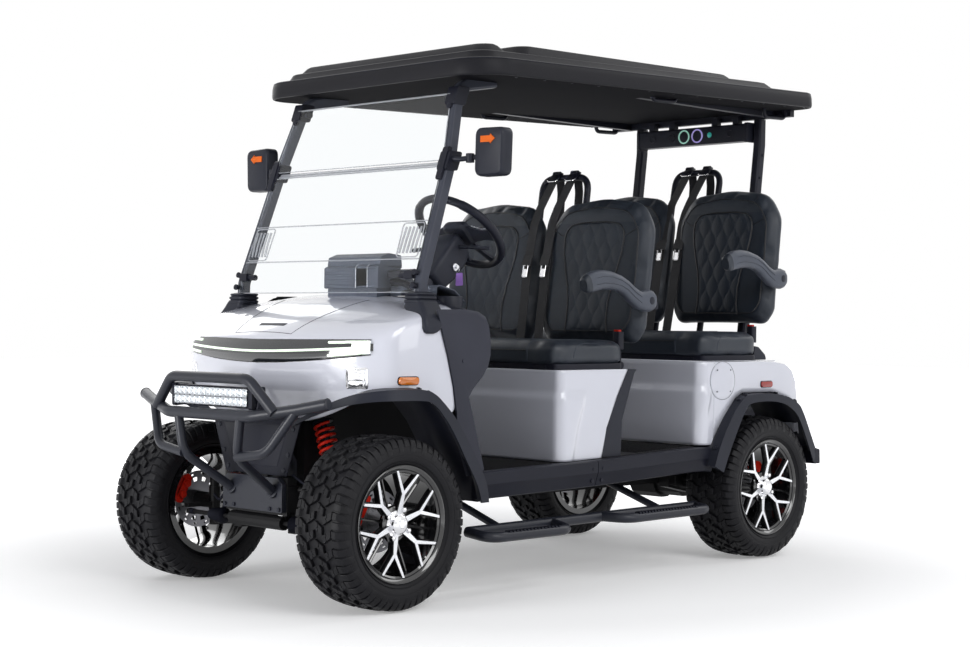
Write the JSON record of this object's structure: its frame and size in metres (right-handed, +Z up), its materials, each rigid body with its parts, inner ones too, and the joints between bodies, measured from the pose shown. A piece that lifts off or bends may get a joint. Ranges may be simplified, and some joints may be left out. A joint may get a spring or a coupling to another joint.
{
  "type": "electric golf cart",
  "caption": "Forward-facing electric golf cart with raised chassis, flared arches, tube bumper, fold-up armrests, clear screen, hard canopy, steered front wheels and padded bench seats.",
  "frame": {"origin": "on the ground plane under the middle of the bounding box, midway between the axles and on the centre line", "axes": "+X to the cart's left, +Y towards the rear (the front faces -Y), +Z up"},
  "size_m": [1.4182, 2.7561, 1.99],
  "materials": {
    "armrest_grey": "satin",
    "battery_case": "matte",
    "body_white": "gloss",
    "chassis_steel": "satin",
    "floor_mat": "matte",
    "lamp_lens": "clear",
    "marker_lens": "gloss",
    "rim_metal": "gloss",
    "roof_plastic": "matte",
    "rubber": "matte",
    "satin_steel": "satin",
    "screen_clear": "clear",
    "seat_dark": "satin",
    "spring_red": "gloss",
    "trim_black": "satin"
  },
  "bodies": {
    "root": {"battery_pack": "battery_case", "chassis_frame": "chassis_steel", "cowl_sides": "body_white", "dashboard": "trim_black", "floor_pan": "floor_mat", "front_bumper": "satin_steel", "front_cowl": "body_white", "front_flares": "trim_black", "front_seat_base": "body_white", "front_springs": "spring_red", "front_struts": "satin_steel", "front_suspension": "chassis_steel", "front_valance": "trim_black", "headlamp_bar": "lamp_lens", "hood_cover": "body_white", "light_bar": "trim_black", "marker_lamps": "marker_lens", "mirrors": "trim_black", "rear_axle": "chassis_steel", "rear_body": "body_white", "rear_flares": "trim_black", "rear_seat_cushion": "seat_dark", "rear_struts": "satin_steel", "rockers": "trim_black", "roof": "roof_plastic", "roof_frame": "satin_steel", "seat_backs": "seat_dark", "seat_base_trim": "trim_black", "seat_frames": "satin_steel", "side_steps": "satin_steel", "soundbar": "trim_black", "steering_column": "trim_black", "windshield_lower": "screen_clear", "windshield_upper": "screen_clear"},
    "wheel_front_left": {"tyre_front_left": "rubber", "rim_front_left": "rim_metal"},
    "wheel_front_right": {"tyre_front_right": "rubber", "rim_front_right": "rim_metal"},
    "wheel_rear_left": {"tyre_rear_left": "rubber", "rim_rear_left": "rim_metal"},
    "wheel_rear_right": {"tyre_rear_right": "rubber", "rim_rear_right": "rim_metal"},
    "steer_knuckle_left": {"knuckle_left": "chassis_steel"},
    "steer_knuckle_right": {"knuckle_right": "chassis_steel"},
    "rack_bar": {"steering_rack": "chassis_steel"},
    "steering_wheel_body": {"steering_wheel": "trim_black"},
    "arm_front_left": {"armrest_front_left": "armrest_grey"},
    "arm_front_right": {"armrest_front_right": "armrest_grey"},
    "arm_rear_left": {"armrest_rear_left": "armrest_grey"},
    "arm_rear_right": {"armrest_rear_right": "armrest_grey"},
    "seat_lid": {"front_seat_cushion": "seat_dark"}
  },
  "joints": [
    {"name": "front_left_wheel_spin", "type": "hinge", "parent": "steer_knuckle_left", "child": "wheel_front_left", "pos_m": [0.515, -1.03, 0.292], "axis": [1, 0, 0], "continuous": true},
    {"name": "rear_left_wheel_spin", "type": "hinge", "parent": "root", "child": "wheel_rear_left", "pos_m": [0.515, 1.03, 0.292], "axis": [1, 0, 0], "continuous": true},
    {"name": "steer_left", "type": "hinge", "parent": "root", "child": "steer_knuckle_left", "pos_m": [0.4, -1.03, 0.292], "axis": [0, 0, 1], "range_deg": [-30, 30]},
    {"name": "front_right_wheel_spin", "type": "hinge", "parent": "steer_knuckle_right", "child": "wheel_front_right", "pos_m": [-0.515, -1.03, 0.292], "axis": [1, 0, 0], "continuous": true},
    {"name": "rear_right_wheel_spin", "type": "hinge", "parent": "root", "child": "wheel_rear_right", "pos_m": [-0.515, 1.03, 0.292], "axis": [1, 0, 0], "continuous": true},
    {"name": "steer_right", "type": "hinge", "parent": "root", "child": "steer_knuckle_right", "pos_m": [-0.4, -1.03, 0.292], "axis": [0, 0, 1], "range_deg": [-30, 30]},
    {"name": "rack_slide", "type": "slide", "parent": "root", "child": "rack_bar", "axis": [1, 0, 0], "range_m": [-0.057, 0.057]},
    {"name": "steering_wheel_turn", "type": "hinge", "parent": "root", "child": "steering_wheel_body", "pos_m": [0.29, -0.45, 1.29], "axis": [0, 0.6749, 0.7379], "range_deg": [-400, 400]},
    {"name": "armrest_front_left_lift", "type": "hinge", "parent": "root", "child": "arm_front_left", "pos_m": [0.576, 0.285, 1.05], "axis": [-1, 0, 0], "range_deg": [0, 85]},
    {"name": "armrest_front_right_lift", "type": "hinge", "parent": "root", "child": "arm_front_right", "pos_m": [-0.576, 0.285, 1.05], "axis": [-1, 0, 0], "range_deg": [0, 85]},
    {"name": "armrest_rear_left_lift", "type": "hinge", "parent": "root", "child": "arm_rear_left", "pos_m": [0.576, 1.15, 1.155], "axis": [-1, 0, 0], "range_deg": [0, 85]},
    {"name": "armrest_rear_right_lift", "type": "hinge", "parent": "root", "child": "arm_rear_right", "pos_m": [-0.576, 1.15, 1.155], "axis": [-1, 0, 0], "range_deg": [0, 85]},
    {"name": "seat_lid_open", "type": "hinge", "parent": "root", "child": "seat_lid", "pos_m": [0, -0.195, 0.7883], "axis": [1, 0, 0], "range_deg": [0, 60]}
  ],
  "couplings": [
    {"joint": "steer_right", "follows": "steer_left", "ratio": 1},
    {"joint": "rack_slide", "follows": "steer_left", "m_per_rad": 0.107},
    {"joint": "steering_wheel_turn", "follows": "steer_left", "ratio": 13}
  ]
}
